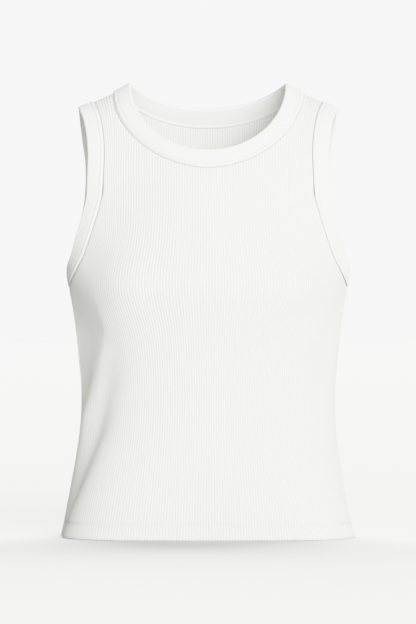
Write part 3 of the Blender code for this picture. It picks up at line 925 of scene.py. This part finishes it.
def runTree(thing, tree, material):
    # gives the piece the tree's result as a plain mesh, and takes the modifier off again
    modifier = thing.modifiers.new(tree.name, "NODES")
    modifier.node_group = tree
    modifier[tree.interface.items_tree["Material"].identifier] = material
    graph = bpy.context.evaluated_depsgraph_get()
    result = bpy.data.meshes.new_from_object(thing.evaluated_get(graph))
    result.name = thing.name
    result.shade_smooth()
    thing.modifiers.remove(modifier)
    thing.data = result
    print(thing.name, len(result.polygons), "faces")


# what repeats, as Geometry Nodes
def ribTree():
    sizes = {"Relief": panelCloth["relief"] * mm, "Ridge Round": panelCloth["ridgeRound"]}
    tree, given = geometryTree("ribRelief", sizes)
    height = maths(
        tree, readAttribute(tree, "ribPlace", "FLOAT"),
        ["FRACT"], ["MULTIPLY", math.pi], ["SINE"], ["MAXIMUM", 0.0],
        ["POWER", given["Ridge Round"]], ["SUBTRACT", 0.5], ["MULTIPLY", given["Relief"]],
        ["MULTIPLY", readAttribute(tree, "ribWeight", "FLOAT")],
    )
    inputs = {0: readAttribute(tree, "outward", "FLOAT_VECTOR"), "Scale": height}
    push = addNode(tree, "ShaderNodeVectorMath", inputs, operation="SCALE")
    inputs = {"Geometry": given["Geometry"], "Offset": push}
    return closeTree(tree, addNode(tree, "GeometryNodeSetPosition", inputs), given["Material"])


def stitchTree():
    sizes = {size: stitches[size.lower()] * mm for size in ("Pitch", "Length", "Thickness")}
    tree, given = geometryTree("stitchRow", sizes)
    curve = addNode(tree, "GeometryNodeMeshToCurve", {"Mesh": given["Geometry"]})
    inputs = {"Curve": curve, "Length": given["Pitch"]}
    even = addNode(tree, "GeometryNodeResampleCurve", inputs, mode="LENGTH")
    bead = addNode(tree, "GeometryNodeMeshUVSphere", {"Segments": 6, "Rings": 4, "Radius": 0.5})
    tangent = tree.nodes.new("GeometryNodeInputTangent")
    turn = addNode(tree, "FunctionNodeAlignRotationToVector", {"Vector": tangent}, axis="Z")
    inputs = {"X": given["Thickness"], "Y": given["Thickness"], "Z": given["Length"]}
    size = addNode(tree, "ShaderNodeCombineXYZ", inputs)
    inputs = {"Points": even, "Instance": bead, "Rotation": turn, "Scale": size}
    return closeTree(tree, addNode(tree, "GeometryNodeInstanceOnPoints", inputs), given["Material"])


# finishes
# light is the cloth's colour; dark is the colour of the painted shade in the knit's grooves and of
# the cotton's darker tone; groove weighs that painted groove shade and ditch the painted shade
# beside a band
looks = {
    "ribKnit": {
        "light": (0.87, 0.872, 0.838), "dark": (0.58, 0.58, 0.545), "mapped": True,
        "loops": {"Wales": 1.0, "Course": 1.3, "Slant": 0.9, "Fuzz": 0.35},
        "sheen": 0.12, "groove": 0.9, "tone": 0.2, "bump": 0.4, "ditch": 0.9,
    },
    "bandKnit": {
        "light": (0.865, 0.865, 0.85), "dark": (0.80, 0.80, 0.78), "mapped": True,
        "loops": {"Wales": 2.5, "Course": 1.2, "Slant": 0.7, "Fuzz": 0.35},
        "sheen": 0.12, "groove": 0.25, "tone": 0.3, "bump": 0.35, "ditch": 0.0,
    },
    # the thread is painted grey, as painted shade along the stitch line's groove
    "threadCottonPaintedShade": {
        "light": (0.66, 0.66, 0.62), "dark": (0.56, 0.56, 0.52), "mapped": False,
        "loops": {"Wales": 2200.0, "Course": 0.0004, "Slant": 2.0, "Fuzz": 0.2},
        "sheen": 0.05, "groove": 0.3, "tone": 0.3, "bump": 0.4, "ditch": 0.0,
    },
}
# colour of the painted shade laid into the ditch beside each band
paintedDitchShade = (0.22, 0.22, 0.18)


def knitGroup():
    # loops of the knit from the piece's own map: u counts ribs, v is millimetres; also how much
    # painted shade darkens the grooves between the wales
    inputs = {"Map": "Vector", **looks["ribKnit"]["loops"]}
    group, given = newTree("knitLoops", "Shader", inputs, {"Height": "Float", "PaintedGrooveShade": "Float"})
    split = addNode(group, "ShaderNodeSeparateXYZ", {0: given["Map"]}).outputs
    wales = ["MULTIPLY", given["Wales"]]
    off = maths(group, split["X"], wales, ["FRACT"], ["SUBTRACT", 0.5], ["ABSOLUTE"])
    slant = maths(group, off, ["MULTIPLY", given["Slant"]])
    wave = maths(
        group, split["Y"], ["DIVIDE", given["Course"]], ["ADD", slant],
        ["MULTIPLY", 2 * math.pi], ["SINE"], ["MULTIPLY_ADD", 0.5, 0.5],
    )
    crown = maths(group, off, ["MULTIPLY", math.pi], ["COSINE"])
    inputs = {"Vector": objectPlace(group), "Scale": 1400.0, "Detail": 3.0}
    fibre = addNode(group, "ShaderNodeTexNoise", inputs)
    fuzz = maths(group, fibre, ["MULTIPLY", given["Fuzz"]])
    groove = maths(group, 1.0, ["SUBTRACT", crown])
    addNode(group, "NodeGroupOutput", {
        "Height": maths(group, wave, ["MULTIPLY", crown], ["ADD", fuzz]),
        "PaintedGrooveShade": maths(group, groove, ["MULTIPLY", groove]),
    })
    return group


def cottonGroup():
    # soft uneven tone of washed cotton
    scales = {"Patch Scale": 9.0, "Thread Scale": 420.0}
    group, given = newTree("cottonTone", "Shader", scales, {"Tone": "Float"})
    place = objectPlace(group)
    patch, thread = [
        addNode(group, "ShaderNodeTexNoise", {"Vector": place, "Scale": given[label], "Detail": 4.0})
        for label in scales
    ]
    tone = maths(group, patch, ["ADD", thread], ["MULTIPLY", 0.5])
    addNode(group, "NodeGroupOutput", {"Tone": tone})
    return group


def mixColours(tree, share, first, second):
    inputs = {"Factor": share, "A": first, "B": second}
    return addNode(tree, "ShaderNodeMix", inputs, data_type="RGBA").outputs["Result"]


def newMaterial(name):
    material = bpy.data.materials.new(name)
    material.use_nodes = True
    tree = material.node_tree
    return material, tree, tree.nodes["Principled BSDF"]


def clothMaterial(name, knitLoops, cottonTone):
    look = looks[name]
    material, tree, shader = newMaterial(name)
    place = addNode(tree, "ShaderNodeUVMap", uv_map="knit") if look["mapped"] else objectPlace(tree)
    knit = addNode(tree, "ShaderNodeGroup", {"Map": place, **look["loops"]}, node_tree=knitLoops)
    tone = addNode(tree, "ShaderNodeGroup", node_tree=cottonTone)
    patch = maths(tree, tone, ["MULTIPLY", look["tone"]])
    # painted shade in the knit's grooves, with the cotton's own uneven tone, mixes the colour
    # towards dark
    shade = maths(tree, knit.outputs["PaintedGrooveShade"], ["MULTIPLY", look["groove"]], ["ADD", patch])
    colour = mixColours(tree, shade, look["light"] + (1.0,), look["dark"] + (1.0,))
    # painted shade: the seamShade attribute darkens the colour in the ditch beside a band
    ditch = addNode(tree, "ShaderNodeAttribute", attribute_name="seamShade").outputs["Fac"]
    ditch = maths(tree, ditch, ["MULTIPLY", look["ditch"]])
    inputs = {"Strength": look["bump"], "Distance": 0.0003, "Height": knit.outputs["Height"]}
    feed(tree, shader, {
        "Base Color": mixColours(tree, ditch, colour, paintedDitchShade + (1.0,)),
        "Roughness": 0.92,
        "Specular IOR Level": 0.25,
        "Sheen Weight": look["sheen"],
        "Sheen Roughness": 0.5,
        "Normal": addNode(tree, "ShaderNodeBump", inputs),
    })
    return material


groups = (knitGroup(), cottonGroup())
ribKnit, bandKnit, threadCottonPaintedShade = [clothMaterial(name, *groups) for name in looks]
print("finishes made")

# the five pieces
panels = {}
pieces = {}
for side in sides:
    pieces[side + "_panel"], panels[side] = makePanel(side + "_panel_knit", side)
bands = [
    ("neck_band", neckPlaces, 1.0, neckCloth, neckThick()),
    ("armhole_band_left", armPlaces(1.0), 1.0, armCloth, armThick()),
    ("armhole_band_right", armPlaces(-1.0), -1.0, armCloth, armThick()),
]
for name, *band in bands:
    pieces[name] = bandPiece(name + "_knit", *band)
ribs = ribTree()
for name, piece in pieces.items():
    runTree(piece, ribs, bandKnit if "band" in name else ribKnit)
print("panels and bands made")

# stitching
stitches = {
    "pitch": 2.9,
    "length": 2.3,
    "thickness": 0.42,
    "hemRows": (16.1, 17.9),  # over the hem's edge
    "hemOut": 0.12,
    "hemColumns": 3,  # the row is drawn through every third column
    "bandSink": 0.2,  # how far a band's row lies under its outer face
}
stitchNodes = stitchTree()


def stitchPiece(name, runs, closed):
    points = []
    edges = []
    for run in runs:
        first = len(points)
        points += [tuple(p * mm) for p in run]
        count = len(run) if closed else len(run) - 1
        edges += [(first + i, first + (i + 1) % len(run)) for i in range(count)]
    mesh = bpy.data.meshes.new(name)
    mesh.from_pydata(points, edges, [])
    thing = addObject(name, mesh)
    runTree(thing, stitchNodes, threadCottonPaintedShade)
    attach(thing, "root")
    return thing


def hemRun(side, above):
    panel = panels[side]
    points = []
    for c in range(0, len(panel.shares), stitches["hemColumns"]):
        place, normal = panel.read(c, np.array([form["hem"] + above]))
        points.append(place[0] + normal[0] * stitches["hemOut"])
    return points


def bandRun(place, hand, cloth, thick):
    width = bandWidth(place)
    here, _, normal = bandFrame(place, (width - cloth["stitchIn"]) / width, hand)
    return here + normal * overSkin(cloth["outer"] - stitches["bandSink"], thick)[:, None]


for side in sides:
    runs = [hemRun(side, above) for above in stitches["hemRows"]]
    stitchPiece("hem_stitching_" + side, runs, False)
for name, *band in bands:
    run = bandRun(*band)
    stitchPiece(name.replace("band", "stitching"), [run], True)
print("stitching sewn")

# each piece hangs from the root, and the model's own part of the same name is hidden
for name, piece in pieces.items():
    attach(piece, "root")
    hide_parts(name)

# stage, light and camera
stage = {
    "floorUnder": 0.15,
    "floorHalf": 30.0,
    "floorTone": 0.79,
    "floorPaintedShade": 0.19,  # painted shade: how much darker the floor is at the garment
    "floorReach": 4.0,
    "floorBounce": 0.25,
    "backdrop": 1.17,
    "around": 0.11,  # light from all round
    "aroundTint": (0.97, 1.0, 0.69),
    "key": 20.3,  # more from the key's side, falling off with the angle
    "keyFrom": (0.29, -0.945, 0.135),
    "keyWidth": 24.0,
    "top": 1.3,  # light from above and behind
    "topFrom": (0.05, 0.55, 0.83),
    "topWidth": 6.0,
    "floorSun": 4.6,  # falls on the floor alone, for the soft shadow in front
    "floorSunFrom": (0.08, 0.76, 0.64),
    "floorSunWide": 60.0,
    "backSun": 1.6,  # falls on all pieces but the front panel, to shape the back's folds
    "backSunFrom": (0.75, 0.62, 0.2),
    "backSunWide": 25.0,
    "filmRise": 2.19,  # film response: 1 - exp(-filmRise * light)
    "filmWhite": 2.4,
    "filmKnots": (0.1, 0.25, 0.45, 0.7, 1.0, 1.3, 1.7),
    "insideSize": (0.16, 0.08),
    "insidePower": 0.035,
    "insideTint": (0.95, 0.98, 0.76),
    "insideAt": (0.0, -0.03, -0.32),
    "cameraAt": (-0.03, -4.8, -0.2365),
    "lens": 253.0,
}
white = (1.0, 1.0, 1.0)


def seenApart(tree, thrown, seen):
    # the camera sees one shader, and light meets the other
    ray = tree.nodes.new("ShaderNodeLightPath").outputs["Is Camera Ray"]
    return addNode(tree, "ShaderNodeMixShader", {"Fac": ray, 1: thrown, 2: seen})


def makeFloor():
    half = stage["floorHalf"]
    height = (form["hem"] - stage["floorUnder"]) * mm
    mesh = bpy.data.meshes.new("floor")
    corners = [(x * half, y * half, height) for x, y in ((-1, -1), (1, -1), (1, 1), (-1, 1))]
    mesh.from_pydata(corners, [], [(0, 1, 2, 3)])
    floor = addObject("floor", mesh)
    material, tree, shader = newMaterial("paleFloor")
    # painted shade: the floor is darker near the garment and grows paler away from it, until it
    # meets the backdrop
    away = addNode(tree, "ShaderNodeVectorMath", {0: objectPlace(tree)}, operation="LENGTH")
    reach = maths(tree, away.outputs["Value"], ["ADD", stage["floorReach"]])
    near = maths(tree, stage["floorReach"] * stage["floorPaintedShade"], ["DIVIDE", reach])
    tone = maths(tree, 1.0, ["SUBTRACT", near], ["MULTIPLY", stage["floorTone"]])
    grey = addNode(tree, "ShaderNodeCombineColor", {"Red": tone, "Green": tone, "Blue": tone})
    feed(tree, shader, {"Base Color": grey, "Roughness": 1.0, "Specular IOR Level": 0.0})
    # what it throws back at the cloth is dimmer than what is seen of it
    dim = addNode(tree, "ShaderNodeBsdfDiffuse", {"Color": (stage["floorBounce"],) * 3 + (1.0,)})
    feed(tree, tree.nodes["Material Output"], {"Surface": seenApart(tree, dim, shader)})
    mesh.materials.append(material)
    return floor


def softStudio():
    # light from all round, brighter from the key's side; the camera sees an even backdrop
    world = bpy.data.worlds.new("softStudio")
    world.use_nodes = True
    tree = world.node_tree
    tree.nodes.clear()
    direction = tree.nodes.new("ShaderNodeTexCoord").outputs["Generated"]
    bright = 0.0
    for light in ("key", "top"):
        inputs = {0: direction, 1: Vector(stage[light + "From"]).normalized()}
        towards = addNode(tree, "ShaderNodeVectorMath", inputs, operation="DOT_PRODUCT")
        bright = maths(
            tree, towards.outputs["Value"], ["MAXIMUM", 0.0],
            ["POWER", stage[light + "Width"]], ["MULTIPLY", stage[light]], ["ADD", bright],
        )
    lit, even, plain = [
        addNode(tree, "ShaderNodeBackground", {"Color": tint + (1.0,), "Strength": strength})
        for tint, strength in (
            (white, bright), (stage["aroundTint"], stage["around"]), (white, stage["backdrop"]),
        )
    ]
    both = addNode(tree, "ShaderNodeAddShader", {0: lit, 1: even})
    addNode(tree, "ShaderNodeOutputWorld", {"Surface": seenApart(tree, both, plain)})
    bpy.context.scene.world = world


def addLight(name, kind, power, receivers):
    # a light that falls only on the things given
    data = bpy.data.lights.new(name, kind)
    data.energy = power
    light = addObject(name, data)
    only = bpy.data.collections.new(name + "Only")
    for thing in receivers:
        only.objects.link(thing)
    light.light_linking.receiver_collection = only
    return light


def softSun(name, receivers):
    sun = addLight(name, "SUN", stage[name], receivers)
    sun.data.angle = math.radians(stage[name + "Wide"])
    sun.rotation_euler = Vector(stage[name + "From"]).to_track_quat("Z", "Y").to_euler()


def insideLight():
    # stands in for the light that comes through thin white cloth
    lit = [pieces[name] for name in ("front_panel", "back_panel", "neck_band")]
    light = addLight("throughCloth", "AREA", stage["insidePower"], lit)
    light.data.shape = "RECTANGLE"
    light.data.size, light.data.size_y = stage["insideSize"]
    light.data.color = stage["insideTint"]
    light.location = stage["insideAt"]
    light.rotation_euler = (math.radians(180), 0, 0)
    light.visible_camera = False


softSun("floorSun", [makeFloor()])
softSun("backSun", [piece for name, piece in pieces.items() if name != "front_panel"])
softStudio()
insideLight()

camera = addObject("camera", bpy.data.cameras.new("camera"))
camera.data.lens = stage["lens"]
camera.data.clip_end = 100.0
camera.location = stage["cameraAt"]
turned = math.atan2(stage["cameraAt"][0], -stage["cameraAt"][1])
camera.rotation_euler = (math.radians(90), 0, turned)
bpy.context.scene.camera = camera

# a soft shoulder of the film, so that white cloth keeps its shading
film = bpy.context.scene.view_settings
film.view_transform = "Standard"
film.use_curve_mapping = True
film.curve_mapping.white_level = (stage["filmWhite"],) * 3
for light in stage["filmKnots"]:
    response = 1 - math.exp(-stage["filmRise"] * light)
    film.curve_mapping.curves[3].points.new(light / stage["filmWhite"], response)
film.curve_mapping.update()
print("stage, light and camera set")
